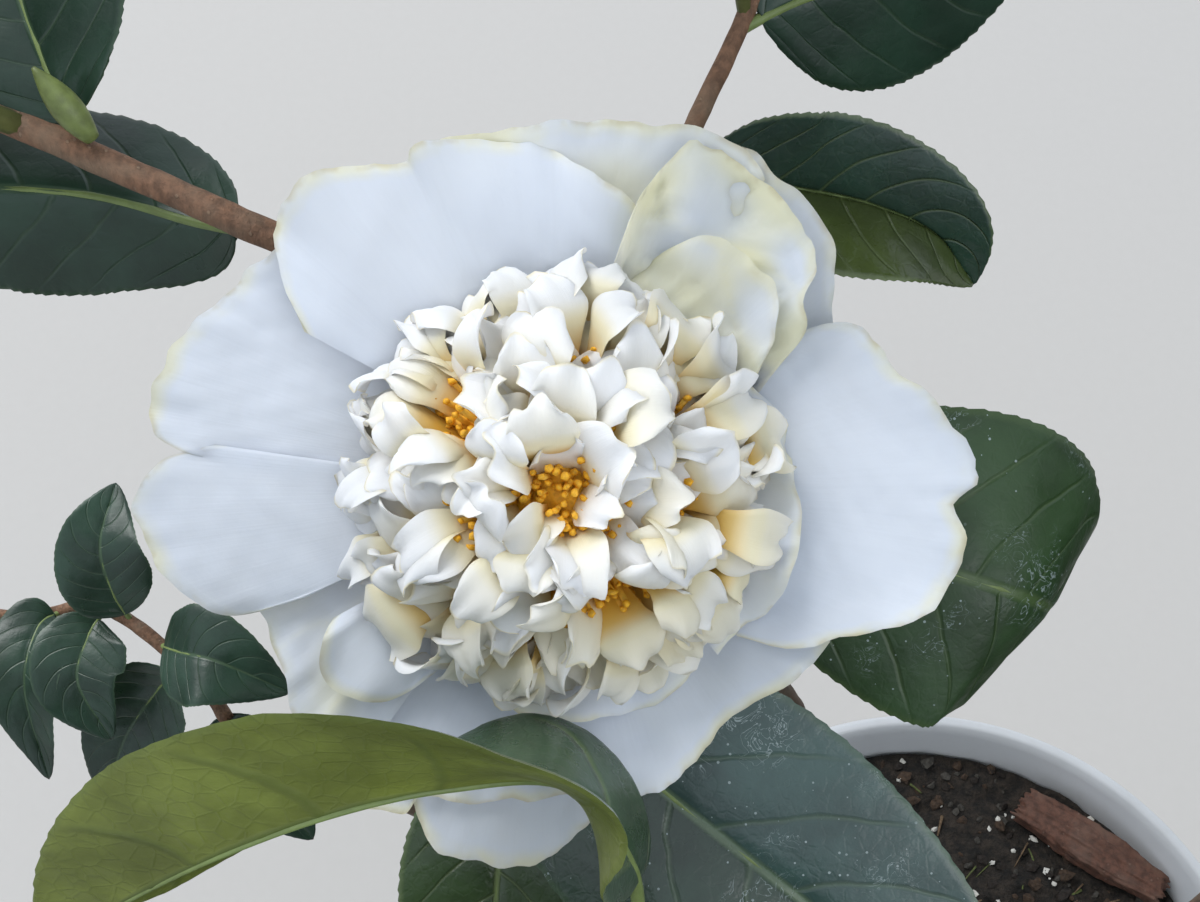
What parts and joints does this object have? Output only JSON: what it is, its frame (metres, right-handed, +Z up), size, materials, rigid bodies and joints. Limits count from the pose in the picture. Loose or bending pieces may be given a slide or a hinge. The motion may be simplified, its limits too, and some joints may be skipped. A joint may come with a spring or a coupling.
{
  "type": "potted camellia",
  "caption": "Young potted camellia: leaning trunk and open boughs with leathery leaves, white blooms with cream centres, in a round white pot.",
  "frame": {"origin": "centre of the pot's flat underside", "axes": "+Z up, -Y towards the side that the picture is taken from, +X to the picture's right"},
  "size_m": [0.6259, 0.551, 0.7996],
  "materials": {
    "pot": "satin",
    "soil": "matte",
    "bark_chip": "matte",
    "bark": "matte",
    "leaves": "satin",
    "petals": "matte",
    "bloom_centre": "matte"
  },
  "bodies": {
    "root": {"pot": "pot", "soil": "soil", "bark_chip": "bark_chip", "trunk": "bark", "bough_left": "bark", "bough_left_low": "bark", "bough_bloom": "bark", "bough_back_low": "bark", "bough_back_right": "bark", "bough_back_high": "bark", "bough_right_low": "bark", "bough_right_high": "bark", "bough_front_right": "bark", "bough_front_low": "bark", "bough_front_left": "bark", "bough_left_front": "bark", "bough_front_high": "bark", "leader": "bark", "foliage_under_bloom": "leaves", "foliage_left_twig": "leaves", "foliage_back_twig": "leaves", "foliage_front_twig": "leaves", "foliage_left_low": "leaves", "foliage_back_low": "leaves", "foliage_back_right": "leaves", "foliage_back_high": "leaves", "foliage_right_low": "leaves", "foliage_right_high": "leaves", "foliage_front_right": "leaves", "foliage_front_low": "leaves", "foliage_front_left": "leaves", "foliage_left_front": "leaves", "foliage_front_high": "leaves", "foliage_top": "leaves", "bloom_petals": "petals", "bloom_centre": "bloom_centre", "bloom_right": "petals", "bloom_back": "petals"}
  },
  "joints": []
}
